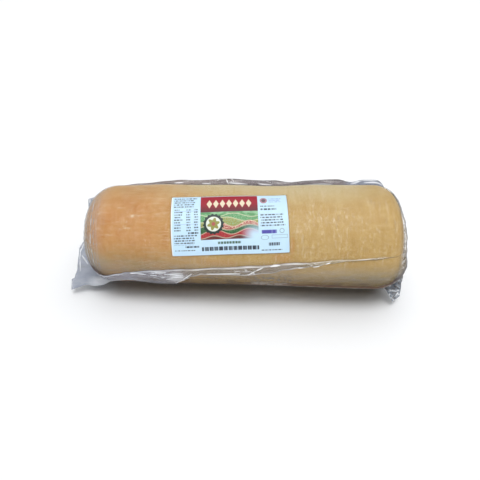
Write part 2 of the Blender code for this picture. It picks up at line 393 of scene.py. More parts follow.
class Finish:
    """A material in the making, on a Principled shader."""

    def __init__(self, name):
        self.material = bpy.data.materials.new(name)
        self.material.use_nodes = True
        self.tree = self.material.node_tree
        self.shader = self.tree.nodes["Principled BSDF"]
        self.point = self.node("TexCoord", {}, "Object")

    def node(self, kind, values, output=0, **settings):
        """A new node's output, with its values or links by socket, and its settings."""
        made = self.tree.nodes.new("ShaderNode" + kind)
        for name, value in settings.items():
            setattr(made, name, value)
        pairs = values.items() if isinstance(values, dict) else enumerate(values)
        for name, value in pairs:
            self.give(made.inputs[name], value)
        return Field(self, made.outputs[output])

    def give(self, socket, value):
        if isinstance(value, Field):
            self.tree.links.new(value.socket, socket)
        else:
            socket.default_value = value

    def wear(self, **values):
        """Gives the shader's sockets their values, with _ for a space in a socket's name."""
        for name, value in values.items():
            self.give(self.shader.inputs[name.replace("_", " ")], value)
        return self.material

    def parts(self, vector):
        """The three numbers of a vector."""
        split = self.node("SeparateXYZ", [vector])
        return [Field(self, output) for output in split.socket.node.outputs]

    def joined(self, *parts):
        return self.node("CombineXYZ", parts)

    def mix(self, start, end, share):
        """The colour that is start where share is 0 and end where it is 1."""
        values = {0: share, 6: start, 7: end}
        return self.node("Mix", values, output=2, data_type="RGBA")

    def layered(self, colour, *layers):
        """The colour under layers of others: (the colour on top, the share of it that hides)."""
        for over, share in layers:
            colour = self.mix(colour, over, share)
        return colour

    def cloud(self, waves, detail=2.0, roughness=0.5, at=None):
        """Noise from 0 to 1 with so many waves a metre along each axis."""
        spot = self.node("Mapping", {"Vector": at or self.point, "Scale": waves})
        values = {"Vector": spot, "Scale": 1.0, "Detail": detail, "Roughness": roughness}
        return self.node("TexNoise", values)

    def chance(self, spot):
        """A number from 0 to 1 that jumps from one whole-number spot to the next."""
        return self.node("TexWhiteNoise", {"Vector": spot})

    def attribute(self, name):
        return self.node("Attribute", {}, "Fac", attribute_name=name)

    def bump(self, height, metres):
        values = {"Height": height, "Distance": metres, "Strength": 0.5}
        return self.node("Bump", values)


def tone(red, green, blue):
    """A colour from its usual 0 to 255 parts."""
    return tuple(
        part / 255 / 12.92 if part < 11 else ((part / 255 + 0.055) / 1.055) ** 2.4
        for part in (red, green, blue)
    ) + (1.0,)


# Finishes of the cheese and the film

SMOKED = tone(193, 142, 80)
SMOKED_DEEP = tone(180, 124, 62)
SMOKED_ROSY = tone(204, 160, 115)
STRAW = tone(188, 156, 94)
STRAW_DEEP = tone(178, 141, 72)
STRAW_LIGHT = tone(206, 180, 124)
STRAW_DARK = tone(166, 134, 72)
SMOKED_DARK = tone(176, 122, 66)
# A painted sheen: the film's gloss laid on as a pale tint.
PAINTED_SHEEN = tone(204, 187, 144)
# Pale streaks of the skin and painted glints of the film.
PALE_STREAK_GLINT = tone(212, 192, 160)
GLINT = tone(238, 214, 186)
EMBER = tone(184, 116, 50)
# Painted shade low on the skin.
PAINTED_LOW_SHADE = tone(134, 114, 54)
# A painted shadow of the label on the skin.
EDGE_SHADE = tone(112, 92, 66)

# Where painted glints gather as pale flecks on the skin: (x along the log, degrees round it,
# reach).
GLINT_SPOTS = (
    (0.058, 62, 0.02), (-0.102, 60, 0.018), (-0.106, 49, 0.012), (0.092, 62, 0.018),
    (-0.138, 62, 0.016),
)
# Deeper orange spots: (x, degrees, half length, half width).
EMBER_SPOTS = (
    (0.038, 21, 0.011, 0.006), (-0.022, 13, 0.024, 0.005), (0.047, 34, 0.003, 0.011),
    (-0.068, 40, 0.004, 0.014),
)
# Painted glints on the skin, pale strokes along the film's wrinkles: from one (x, degrees) to
# another, and their half width.
GLINT_STROKES = (
    ((0.0725, 64.0), (0.0725, 41.5), 0.00045), ((0.0855, 51.9), (0.0987, 52.6), 0.00045),
    ((-0.086, 36.7), (-0.0853, 27.2), 0.0005), ((-0.0825, 37.7), (-0.082, 30.0), 0.0004),
    ((0.046, 46.8), (0.05, 52.7), 0.0006), ((0.0525, 45.8), (0.0552, 51.7), 0.00055),
    ((0.0583, 47.7), (0.0605, 54.6), 0.0005), ((0.0644, 52.6), (0.066, 57.0), 0.00045),
)


def cheese_finish():
    """Smoked skin: orange at the left end and straw yellow at the right, mottled and streaked,
    under a painted sheen, painted shade and painted glints.
    """
    rind = Finish("smoked_rind")
    x, y, z = rind.parts(rind.point)
    along = x - LOG_MIDDLE.x
    turn = (z - axis_height(0)).turn_from(LOG_MIDDLE.y - y)
    around = turn * RIGHT_RADIUS
    wander = rind.cloud((26, 26, 26), 3) - 0.5
    smoky = (x + wander * 0.03).rise(-0.012, -0.088)
    behind = (y - LOG_MIDDLE.y + wander * 0.02).rise(-0.019, 0.02)
    patches = rind.cloud((34, 26, 26), 3, 0.6)
    colour = skin_ground(rind, smoky, patches)
    # Painted sheen: the upper back of the skin turns pale, less at the smoky left and at the right
    # end.
    sheen_strength = 1 - smoky * 0.68 - along.rise(0.09, 0.135) * 0.7
    colour = rind.mix(colour, PAINTED_SHEEN, behind * sheen_strength)

    rings = rind.cloud((430, 55, 55), 2, 0.6)
    rows = rind.cloud((60, 430, 430), 2, 0.6)
    speckle = rind.cloud((640, 640, 640), 2, 0.7)
    dark_marks = rings.rise(0.5, 0.32) * 0.3 + speckle.rise(0.52, 0.34) * 0.5
    dark_marks = (dark_marks * (1 - behind * 0.5)).least(1.0)
    colour = rind.mix(colour, rind.mix(STRAW_DEEP, EMBER, smoky), dark_marks)
    for place, degrees, length, width in EMBER_SPOTS:
        off_x = (along - place) / length
        off_turn = (around - radians(degrees) * RIGHT_RADIUS) / width
        spot = (off_x * off_x + off_turn * off_turn).rise(1.0, 0.1)
        colour = rind.mix(colour, EMBER, spot * 0.3)
    # Pale streaks of the skin, with painted glints of the film's wrinkles.
    colour = rind.mix(colour, PALE_STREAK_GLINT, streaks_and_glints(rind, along, around, smoky, rings, rows))

    # Painted shade: the skin darkens to olive brown towards the bottom, more at the smoky left and
    # the right end, unevenly along its rows.
    low_shade_strength = 0.32 + smoky * 0.24 + rows.rise(0.4, 0.6) * 0.2 + along.rise(0.06, 0.125) * 0.4
    low_shade = (z - smoky * 0.009).rise(0.071, 0.043) * low_shade_strength
    # Painted glints: short pale strokes along the film's wrinkles, broken up.
    painted_glints = sum(stroke(along, around, *mark) for mark in GLINT_STROKES)
    broken = rind.cloud((500, 500, 500), 1).rise(0.4, 0.62)
    colour = rind.layered(
        colour,
        (PAINTED_LOW_SHADE, low_shade),
        # Painted shadow round the label.
        (EDGE_SHADE, painted_label_shadow(along, turn) * 0.45),
        (GLINT, painted_glints.least(1.0) * broken * 0.4),
    )
    return rind.wear(
        Base_Color=colour,
        Roughness=0.5 + patches * 0.1,
        Specular_IOR_Level=0.28,
        Normal=rind.bump(rings * 0.5 + rows * 0.3 + speckle * 0.3, 0.0004),
    )


def skin_ground(rind, smoky, patches):
    """The skin's mottled ground: orange where it is smoky and straw yellow elsewhere."""
    deep = patches.rise(0.42, 0.72) * 0.8
    straw = rind.mix(STRAW, STRAW_DEEP, deep)
    smoked = rind.mix(SMOKED, SMOKED_DEEP, deep)
    blotches = rind.cloud((80, 95, 95), 2, 0.55).rise(0.5, 0.7)
    mottle = rind.cloud((210, 260, 260), 3, 0.65)
    return rind.layered(
        rind.mix(straw, smoked, smoky),
        (SMOKED_ROSY, blotches * (smoky * 0.45 + 0.05)),
        (rind.mix(STRAW_DARK, SMOKED_DARK, smoky), mottle.rise(0.5, 0.68) * 0.46),
        (rind.mix(STRAW_LIGHT, SMOKED_ROSY, smoky), mottle.rise(0.48, 0.32) * 0.4),
    )


def streaks_and_glints(rind, along, around, smoky, rings, rows):
    """How pale broken rings, fine rows and gathered flecks make the skin: the rows are its own
    streaks, the rings partly its streaks and partly painted glints of the film's fine wrinkles, the
    gathered flecks painted glints.
    """
    flecks = rind.cloud((640, 200, 200), 2, 0.6)
    broken_rings = rings.rise(0.5, 0.7) * flecks.rise(0.38, 0.6)
    marks = broken_rings * (0.12 + (1 - smoky) * 0.18) * 1.3
    marks = marks + rows.rise(0.54, 0.72) * (0.14 + smoky * 0.2)
    gathered = sum(
        distance(along, around, (place, radians(degrees) * RIGHT_RADIUS)).rise(reach, 0.0)
        for place, degrees, reach in GLINT_SPOTS
    )
    return (marks + gathered * (0.03 + flecks.rise(0.56, 0.72) * 0.85)).least(1.0)


def painted_label_shadow(along, turn):
    """The painted shadow round the label: 1 under the label and 0 from a little past its edge."""
    across = along - LABEL_MIDDLE_X
    up = (turn - LABEL_MIDDLE_ANGLE) * LEFT_RADIUS
    past_side = abs(across * LABEL_LEVEL + up * LABEL_TILT) - LABEL_WIDTH / 2
    past_end = abs(up * LABEL_LEVEL - across * LABEL_TILT) - LABEL_HEIGHT / 2
    return past_side.most(past_end).rise(LABEL_SHADE_REACH, 0.0)


def stroke(along, around, start, end, width):
    """1 along the straight line on the skin from one (x, degrees) to another, 0 past its width."""
    x, up = start[0], radians(start[1]) * RIGHT_RADIUS
    run = end[0] - x, radians(end[1]) * RIGHT_RADIUS - up
    length = run[0] ** 2 + run[1] ** 2
    off_x = along - x
    off_up = around - up
    share = (off_x * (run[0] / length) + off_up * (run[1] / length)).most(0.0).least(1.0)
    nearest = share * run[0], share * run[1]
    return distance(off_x, off_up, nearest).rise(width, width * 0.3)


ASH = tone(155, 162, 177)
SLATE = tone(116, 128, 142)
HAY = tone(200, 184, 148)
TAUPE = tone(158, 146, 142)
LAVENDER = tone(170, 171, 184)
DUSK = tone(134, 125, 128)
TAN = tone(172, 160, 146)
WHITE = tone(246, 249, 253)
SHADE = tone(74, 70, 72)
BEIGE = tone(196, 180, 154)
HAZE = tone(186, 180, 168)
# Doubled film under the log, with painted shade.
DOUBLED_FILM_SHADE = tone(80, 72, 76)
# A painted silvery reflection low on the front of the film.
SILVER = tone(150, 144, 138)
FAWN = tone(146, 132, 120)
BROWN = tone(96, 66, 48)
# Pale lines round the left end: (distance from the end, half width, strength).
RIM_LINES = (
    (0.005, 0.0008, 0.4), (0.0078, 0.0007, 0.5), (0.0102, 0.0009, 0.8),
    (0.013, 0.0007, 0.55), (0.0155, 0.0011, 0.75), (0.0188, 0.0007, 0.45),
    (0.0216, 0.0009, 0.4),
)


def tight_film_finish():
    """Clear film drawn tight on the cheese, pale where it wrinkles, with painted shade where it
    turns away and low down, and a painted silvery sheen and glints low at the front.
    """
    film = Finish("tight_film")
    x, y, z = film.parts(film.point)
    across = y - LOG_MIDDLE.y
    up = z - axis_height(0)
    away = (across * across + up * up) ** 0.5
    turned = film.node("LayerWeight", {"Blend": 0.5}, "Facing")
    rings = film.cloud((560, 60, 60))
    broken = film.cloud((260, 160, 160), 2, 0.6).rise(0.4, 0.6)
    left_rim = (x - LOG_LEFT).rise(0.032, 0.008)
    to_right = LOG_RIGHT - x
    right_rim = to_right.rise(0.014, 0.003)
    ends = (left_rim + right_rim).least(1.0)
    round_off = away.rise(0.03, 0.041)

    lines = rings.rise(0.58, 0.74) * film.cloud((36, 36, 36)).rise(0.5, 0.64)
    sway = (film.cloud((40, 26, 26)) - 0.5) * 0.006
    rim_lines = sum(
        abs(x + sway - (LOG_LEFT + offset)).rise(width, width * 0.3) * strength
        for offset, width, strength in RIM_LINES
    )
    rim_lines = rim_lines * (0.35 + broken * 0.65) * round_off
    radial = film.joined(across / away * 13, up / away * 13, away * 50)
    spokes = film.cloud((1, 1, 1), at=radial).rise(0.46, 0.64) * broken
    gathered = to_right.rise(0.0095, 0.007) * round_off
    along = up * WEB_ALONG.z + across * WEB_ALONG.y
    off = across * WEB_OFF.y + up * WEB_OFF.z
    pleats = film.cloud((320, 45, 0), 2, 0.55, at=film.joined(along, off, 0.0))
    near_web = abs(off).rise(0.034, 0.004)
    pleated = pleats.rise(0.5, 0.74) * ends * (1 - round_off * 0.8) * near_web

    # Painted shade at the left end where the film turns away from view, browner low down.
    left_grazing_shade = turned.rise(0.76, 0.9) * left_rim
    # Painted reflection: where the film turns away from view it is painted dark grey, as if it
    # mirrored a darker surround, and grows denser.
    edge = turned.rise(0.84, 0.96) * (1 - left_rim) + turned.rise(0.66, 0.8) * right_rim
    # Towards the bottom the film turns dark grey-brown and denser: partly the slack film doubled
    # under the log, partly painted shade.
    tucked_and_shaded = z.rise(0.068, 0.03)
    # Painted shade where the film turns away from view low on the log.
    foot = turned.rise(0.56, 0.74) * z.rise(0.046, 0.036)
    front_foot = z.rise(0.05, 0.04) * across.rise(-0.01, -0.02)
    # Painted shade: a dark brown line along the log's lower edge at the front.
    brown_foot_shade = turned.rise(0.66, 0.78) * front_foot * x.rise(-0.02, 0.05)
    # Painted sheen: a broken silvery patch low on the front.
    silver_sheen = x.rise(0.002, 0.022) * x.rise(0.062, 0.042) * front_foot * broken
    # Painted glint: a broken silvery line where the film turns away from view, low on the front
    # right.
    silver_edge_glint = turned.rise(0.8, 0.87) * front_foot * x.rise(0.03, 0.07) * broken
    streaks = film.cloud((70, 420, 420), 3, 0.6).rise(0.36, 0.64)
    uneven = 1 + (streaks - 0.5) * (1 - ends) * 0.7

    colour = film.layered(
        film.mix(WHITE, HAZE, left_rim * (1 - rim_lines.least(1.0))),
        (BEIGE, right_rim),
        (WHITE, gathered * spokes * 0.6),
        (DOUBLED_FILM_SHADE, (tucked_and_shaded + foot).least(1.0)),
        (BROWN, brown_foot_shade),
        (SILVER, silver_sheen),
        (WHITE, pleated),
        (SHADE, edge.least(1.0)),
        (film.mix(FAWN, BROWN, z.rise(0.06, 0.036)), left_grazing_shade),
        (SILVER, silver_edge_glint),
    )
    veil = (
        0.03 + lines * 0.12 + rim_lines * 0.32 + left_rim * (0.28 + z.rise(0.075, 0.04) * 0.14)
        + right_rim * 0.1 + gathered * (0.22 + spokes * 0.34) + pleated * 0.15
        + (tucked_and_shaded * (0.36 - left_rim * 0.2) + foot * 0.1) * uneven
        + brown_foot_shade * 0.4 + silver_sheen * 0.2 + edge * 0.75 + left_grazing_shade * 0.5
    )
    return film.wear(
        Base_Color=colour,
        Roughness=0.26 + tucked_and_shaded * 0.4,
        Specular_IOR_Level=0.25,
        Alpha=veil.least(0.94),
        Normal=film.bump(rings, 0.0003),
    )


def slack_film_finish(name, body, cover, mottle=0.22, grain=1.0, turns=()):
    """Slack film of a body colour: white along its creases, partly their own whitening and partly
    painted glints, and dark with painted shade just under an edge and beside the log.

    Each turn is a colour that the body turns to between two places along an axis.
    """
    film = Finish(name)
    crease = film.attribute("crease")
    drift = film.cloud((45 * grain, 90 * grain, 90 * grain), 3, 0.55)
    fine = film.cloud((260, 420, 420), 2, 0.6)
    place = film.parts(film.point)
    for next_body, axis, start, stop in turns:
        body = film.mix(body, next_body, place[axis].rise(start, stop))
    # The crease attribute: above 0 crease whitening and painted glints, below 0 painted shade under
    # the flap's foot and beside the log, and the fin's darker crest.
    bright = (crease + drift.rise(0.54, 0.72) * mottle).most(0.0).least(1.0)
    dull = (drift.rise(0.48, 0.28) * mottle * 1.4 - crease).most(0.0).least(1.0)
    colour = film.mix(film.mix(body, SHADE, dull), WHITE, bright)
    density = (cover + (drift - 0.5) * 0.3 + abs(crease) * 0.5).most(0.05).least(0.97)
    return film.wear(
        Base_Color=colour,
        Roughness=0.22,
        Alpha=density * film.attribute("fullness"),
        Normal=film.bump(drift * 0.6 + fine * 0.25, 0.0012),
    )


# Pieces


def turned_outline():
    """(x, radius) from the middle of the left end along the pack to that of the right end."""

    def end_points(end, rounding):
        face = PACK_LENGTH / 2 - END_DOME
        flat = straight_radius(end * face) - rounding
        for step in range(STEPS_ACROSS_END):
            share = step / STEPS_ACROSS_END
            yield end * (face + END_DOME * (1 - share * share)), flat * share
        for step in range(STEPS_OVER_RIM):
            turn = radians(90) * step / STEPS_OVER_RIM
            x = end * (face - rounding + rounding * cos(turn))
            yield x, skin_radius(x)

    left = list(end_points(-1, LEFT_ROUNDING))
    right = list(end_points(1, RIGHT_ROUNDING))
    start = -PACK_LENGTH / 2 + END_DOME + LEFT_ROUNDING
    stop = PACK_LENGTH / 2 - END_DOME - RIGHT_ROUNDING
    side = [start + (stop - start) * step / STEPS_ALONG for step in range(STEPS_ALONG + 1)]
    return left + [(x, skin_radius(x)) for x in side] + right[::-1]


def turned_body(outline):
    """A closed body turned from an outline about the log's axis."""
    bm = bmesh.new()
    verts = [bm.verts.new((x, 0, radius)) for x, radius in outline]
    edges = [bm.edges.new(pair) for pair in zip(verts, verts[1:])]
    turning = {"cent": (0, 0, 0), "axis": (1, 0, 0), "angle": tau, "steps": STEPS_ROUND}
    bmesh.ops.spin(bm, geom=verts + edges, use_merge=True, **turning)
    bmesh.ops.remove_doubles(bm, verts=bm.verts, dist=1e-6)
    for vert in bm.verts:
        x, y, z = vert.co
        vert.co = round_point(x, atan2(z, -y), hypot(y, z))
    bmesh.ops.recalc_face_normals(bm, faces=bm.faces)
    return bm


def dents(spot):
    """The log's own soft dents, which the film follows."""
    return sum(depth * noise.noise(spot * waves) for depth, waves in DENTS)


def raise_surface(bm, height_at, lowest):
    """Moves each vertex out along its normal, and rests the body's underside flat."""
    bm.normal_update()
    for vert in bm.verts:
        vert.co += vert.normal * height_at(vert.co)
        vert.co.z = max(vert.co.z, lowest)


def angle_round(spot):
    return atan2(spot.z - axis_height(0), LOG_MIDDLE.y - spot.y)


def near_right_end(spot, length):
    """0 up to a length before the log's right end, and 1 at the end."""
    return held((spot.x - LOG_RIGHT + length) / length)


def low_corner(spot):
    """How far the log's right end swells past its round form, low at the front."""
    if spot.y >= LOG_MIDDLE.y:
        return 0.0
    facing = max(0.0, cos(CORNER_NARROWING * (angle_round(spot) - CORNER_ANGLE)))
    return CORNER_SWELL * near_right_end(spot, CORNER_LENGTH) * facing


def cheese(material):
    """The log of cheese, a little shorter and thinner than its bag."""
    share = 1 - (LEFT_END_GAP + RIGHT_END_GAP) / PACK_LENGTH
    shift = (LEFT_END_GAP - RIGHT_END_GAP) / 2
    outline = [
        (x * share + shift, max(0.0, radius - SKIN_GAP)) for x, radius in turned_outline()
    ]
    outline[0] = (outline[0][0], 0.0)
    outline[-1] = (outline[-1][0], 0.0)
    bm = turned_body(outline)
    raise_surface(bm, dents, PACK_LOW.z + 2 * REST_GAP)
    for vert in bm.verts:
        vert.co.x += low_corner(vert.co)
    return finished("cheese", bm, "smoked_cheese", "vacuum_pack", material)


def end_pleats(spot):
    """Pleats in the film over the ends, which run from the sealed web to the rim."""
    past = abs(spot.x - LOG_MIDDLE.x) - (PACK_LENGTH / 2 - PLEAT_START)
    from_axis = spot - Vector((0, LOG_MIDDLE.y, axis_height(0)))
    along, off, down = PLEAT_WAVES
    place = (from_axis.dot(WEB_ALONG) * along, from_axis.dot(WEB_OFF) * off, spot.x * down)
    pleat = abs(noise.noise(Vector(place)))
    return PLEAT_HEIGHT * held(past / PLEAT_RISE) * (pleat - PLEAT_SINK)


def loose_bulge(spot):
    """How far the film over the right end hangs out past it."""
    facing = max(0.0, cos(angle_round(spot) - LOOSE_ANGLE))
    return LOOSE_BULGE * near_right_end(spot, LOOSE_LENGTH) * facing


def skin_film(material):
    """The bag's tight film, from end to end of the log."""
    bm = turned_body(turned_outline())

    def height(spot):
        return dents(spot) + end_pleats(spot)

    raise_surface(bm, height, PACK_LOW.z + REST_GAP)
    for vert in bm.verts:
        vert.co.x += loose_bulge(vert.co) + low_corner(vert.co)
    return finished("tight_film", bm, "clear_film", "vacuum_pack", material)


def crumple(spot, waves, width=0.05):
    """Crumpled film: (height from about -1 to 1, how near a sharp crease in the busier patches)."""
    swell = noise.noise(spot * waves)
    fold = abs(noise.noise(spot * waves * 1.4 + Vector((5, 2, 8))))
    busy = held(0.3 + 3 * noise.noise(spot * waves * 0.5 + Vector((1, 7, 3))))
    return swell + 1.2 * (0.3 - fold) * busy, busy * max(0.0, 1 - fold / width)


def fold_at(spot, folds, width):
    """How strongly the nearest straight fold shows at a flat spot: 1 along it, 0 past its width."""
    strongest = 0.0
    for start, end in folds:
        run = end - start
        share = held((spot - start).dot(run) / run.length_squared)
        off = (spot - start - run * share).length
        tapered = width * (0.35 + 0.65 * sin(pi * share))
        strongest = max(strongest, 1 - off / tapered)
    return strongest


def patch_at(x, angle, patch):
    """1 in the middle of an oval patch of film and 0 past its edge."""
    middle, degrees, length, height = patch
    up = (angle - radians(degrees)) * LEFT_RADIUS
    return held(1.6 * (1 - hypot((x - middle) / length, up / height)))


def film_sheet(name, steps, point_at, material):
    """A sheet of film: point_at(u, v) gives a place, how creased it is there and how full. Above 0
    the crease is white with painted glints; below 0 it is darker, with painted shade under the flap
    and beside the log.
    """
    bm = bmesh.new()
    glint_and_shade_layer = bm.verts.layers.float.new("crease")
    fullness = bm.verts.layers.float.new("fullness")
    bmesh.ops.create_grid(bm, x_segments=steps[0], y_segments=steps[1], size=0.5)
    for vert in bm.verts:
        vert.co, vert[glint_and_shade_layer], vert[fullness] = point_at(vert.co.x + 0.5, vert.co.y + 0.5)
    bmesh.ops.recalc_face_normals(bm, faces=bm.faces)
    sheet = finished(name, bm, "clear_film", "vacuum_pack", material)
    wall = sheet.modifiers.new("wall", "SOLIDIFY")
    wall.thickness = FILM_THICKNESS
    wall.offset = 0
    return sheet


def back_fin(material):
    """The side fold along the back: a thin doubled fin with an uneven, leaning edge."""
    start, end = FIN_HEIGHTS[0][0], FIN_HEIGHTS[-1][0]
    tallest = max(height for _, height in FIN_HEIGHTS)
    folds = [[Vector((x, share * tallest)) for x, share in fold] for fold in FIN_FOLD_GLINTS]

    def point_at(u, v):
        x = start + (end - start) * u
        side = 2 * v - 1
        tall = 0.5 + 0.5 * cos(pi * side)
        height = eased(FIN_HEIGHTS, x)
        lean = FIN_LEAN * sin(x * FIN_WAVE) * tall
        spread = FIN_SPREAD * min(1.0, 0.25 + height / FIN_FULL_HEIGHT)
        angle = FIN_ANGLE + lean - spread * side * abs(side) ** 1.5
        spot = Vector((x * 0.4, height * tall * 2, side * 0.002))
        rough, crease = crumple(spot, FIN_CRUMPLE_WAVES)
        fold = fold_at(Vector((x, (1 - abs(side)) * tallest)), folds, FIN_FOLD_WIDTH)
        lift = SHEET_LIFT + height * tall + FIN_CRUMPLE * rough * tall * (1 - tall) * 4
        crest = max(0.0, 1 - abs(side) / FIN_CREST)
        full = min(1.0, (1 - abs(side)) / 0.3, u / 0.06, (1 - u) / 0.02)
        shown = max(fold, crease * tall) - crest
        return skin_point(x, angle - 0.003 * fold * side, lift), shown, full

    return film_sheet("back_fin", FIN_STEPS, point_at, material)


def front_flap(material):
    """The side fold down the front: slack towards the left corner, a crease at the right."""
    start, end = FLAP_TOP[0][0], FLAP_TOP[-1][0]
    folds = [
        [Vector((x, radians(degrees) * LEFT_RADIUS)) for x, degrees in fold]
        for fold in FLAP_FOLD_GLINTS
    ]

    def point_at(u, v):
        x = start + (end - start) * u
        top = radians(eased(FLAP_TOP, x))
        foot = radians(eased(FLAP_FOOT, x))
        angle = top + (foot - top) * v
        down = (top - angle) * LEFT_RADIUS
        up = (angle - foot) * LEFT_RADIUS
        wall = min(1.0, down / FLAP_RIM, up / FLAP_RIM)
        rough, crease = crumple(Vector((x * 0.3, angle * LEFT_RADIUS, 3)), FLAP_CRUMPLE_WAVES)
        fold = fold_at(Vector((x, angle * LEFT_RADIUS)), folds, FLAP_FOLD_WIDTH)
        height = (eased(FLAP_LIFTS, x) + FLAP_FOLD_HEIGHT * fold + FLAP_CRUMPLE * rough) * wall
        uneven = 0.62 + 0.9 * noise.noise(Vector((x * 70, 4, 9)))
        pale = 1 - 0.75 * held((x - 0.064) / 0.02)
        # Painted glints: pale lines along the flap's upper rim and along its foot, fainter to the
        # right.
        rim = uneven * max(0.0, 1 - abs(down - FLAP_RIM) / FLAP_RIM)
        foot_rim_glint = uneven * max(0.0, 1 - abs(up - 1.8 * FLAP_RIM) / FLAP_RIM)
        # Painted shadow: a dark line just under the flap's foot.
        under = 1.3 * max(0.0, 1 - up / (1.3 * FLAP_RIM))
        milky = 0.52 * patch_at(x, angle, FLAP_MILKY)
        clear = patch_at(x, angle, FLAP_CLEAR) * (1 - min(1.0, fold * 2))
        edges = pale * max(rim, foot_rim_glint, crease * wall * 0.8)
        shown = max(edges, fold * 1.4, milky) - under
        full = min(1.0, u / 0.03, (1 - u) / 0.1) * (1 - 0.5 * clear)
        return skin_point(x, angle, SHEET_LIFT + max(0.0, height)), shown, full

    return film_sheet("front_flap", FLAP_STEPS, point_at, material)


def web_point(end, along, reach, bulge):
    """A point by its place along the end web's diameter and its reach past the end."""
    face = end * PACK_LENGTH / 2
    middle = LOG_MIDDLE + Vector((face + end * reach, 0, axis_height(face)))
    return middle + WEB_ALONG * along + WEB_OFF * bulge


def end_web(name, end, material, edge, ear_length, bow, folds, shade, shaded, crumpled, waves):
    """An end's sealed web with its corner ear: painted shade beside the log over a share of its
    depth, painted light where the shade is under 0.
    """
    first, last = edge[0][0], edge[-1][0]
    inner_first = WEB_NARROWING * first
    folds = [[Vector(spot) for spot in fold] for fold in folds]

    def point_at(share, out):
        earward = share**EAR_SHARPNESS
        edge_place = first + (last - first) * share
        inner_place = inner_first + (EAR_ROOT_PLACE - inner_first) * share
        inner_reach = -WEB_DEPTH - (ear_length - WEB_DEPTH) * earward
        place = inner_place + (edge_place - inner_place) * out
        place -= eased(bow, out) * earward
        reach = inner_reach + (eased(edge, edge_place) - inner_reach) * out
        rough, crease = crumple(Vector((place, reach, end)), waves)
        fold = fold_at(Vector((place, reach)), folds, WEB_FOLD_WIDTH)
        bulge = crumpled * rough * out * (0.25 + 0.75 * share) + WEB_FOLD_HEIGHT * fold
        # Painted light: the left web's low border is paler, as if lit from the floor below it.
        if end < 0:
            low_border_light = 0.45 * held((place - 0.044) / 0.004) * held((0.004 - reach) / 0.01)
            glinting = 0.7
        else:
            low_border_light = 0.0
            glinting = 0.2 + 0.5 * held((place - 0.036) / 0.008)
        # Painted shade beside the log; where the shade is under 0 it is painted light.
        dull = eased(shade, place) * max(0.0, 1 - out / shaded)
        shown = max(fold, crease * out * glinting, low_border_light) - dull
        return web_point(end, place, reach, bulge), shown, 1.0

    return film_sheet(name, WEB_STEPS, point_at, material)


def label(*prints):
    """The paper label, its corners cut round, in its left, picture, name and right prints."""
    bm = bmesh.new()
    bm.loops.layers.uv.new("print")
    across, up = LABEL_STEPS
    bmesh.ops.create_grid(bm, x_segments=across, y_segments=up, size=1, calc_uvs=True)
    for vert in bm.verts:
        vert.co.x *= LABEL_WIDTH / 2
        vert.co.y *= LABEL_HEIGHT / 2
    corners = [vert for vert in bm.verts if len(vert.link_edges) == 2]
    rounded = {"offset": LABEL_CORNER, "segments": 4, "profile": 0.5}
    bmesh.ops.bevel(bm, geom=corners, affect="VERTICES", material=-1, **rounded)
    for face in bm.faces:
        middle = face.calc_center_median()
        if middle.x < LEFT_PANEL_END - LABEL_WIDTH / 2:
            face.material_index = 0
        elif middle.x > RIGHT_PANEL_START - LABEL_WIDTH / 2:
            face.material_index = 3
        else:
            face.material_index = 1 if middle.y > LABEL_HEIGHT / 2 - NAME_PANEL_TOP else 2
    bmesh.ops.recalc_face_normals(bm, faces=bm.faces)
    bmesh.ops.solidify(bm, geom=bm.faces, thickness=LABEL_THICKNESS)
    lowest = min(vert.co.z for vert in bm.verts)
    for vert in bm.verts:
        x, y, z = vert.co
        along = LABEL_MIDDLE_X + x * LABEL_LEVEL - y * LABEL_TILT
        up = x * LABEL_TILT + y * LABEL_LEVEL
        angle = LABEL_MIDDLE_ANGLE + up / straight_radius(along)
        vert.co = skin_point(along, angle, LABEL_LIFT + z - lowest)
    return finished(
        "paper_label_print", bm, "label_paper", "paper_label", *prints, smooth_angle=30
    )


# The label's print, in millimetres from its upper left corner: x to the right, y down.

PAPER = tone(198, 228, 248)
PAPER_SHADE = tone(184, 216, 245)
GREY = tone(62, 70, 84)
NAVY = tone(12, 20, 40)
BLUE = tone(150, 176, 220)
VIOLET = tone(70, 60, 160)
BAND_RED = tone(156, 26, 46)
BAND_DARK = tone(86, 20, 34)
CREAM = tone(236, 224, 196)
LEAF = tone(84, 146, 90)
LEAF_PALE = tone(142, 190, 146)
DEEP_LEAF = tone(50, 84, 52)
OLIVE = tone(146, 146, 76)
ROSE = tone(172, 92, 84)
BERRY = tone(166, 42, 50)
WINE = tone(110, 36, 46)
SEAL_RING = tone(38, 54, 52)
SEAL_PALE = tone(222, 230, 218)
# A painted glint along the label's left edge, where the film over it catches the light.
PAPER_EDGE_GLINT = tone(228, 240, 248)


def block(x, y, box):
    """1 inside a (left, top, right, bottom) box and 0 outside it."""
    left, top, right, bottom = box
    past_side = abs(x - (left + right) / 2) - (right - left) / 2
    past_end = abs(y - (top + bottom) / 2) - (bottom - top) / 2
    return past_side.most(past_end).rise(0.15, -0.15)


def distance(x, y, middle):
    across = x - middle[0]
    down = y - middle[1]
    return (across * across + down * down) ** 0.5


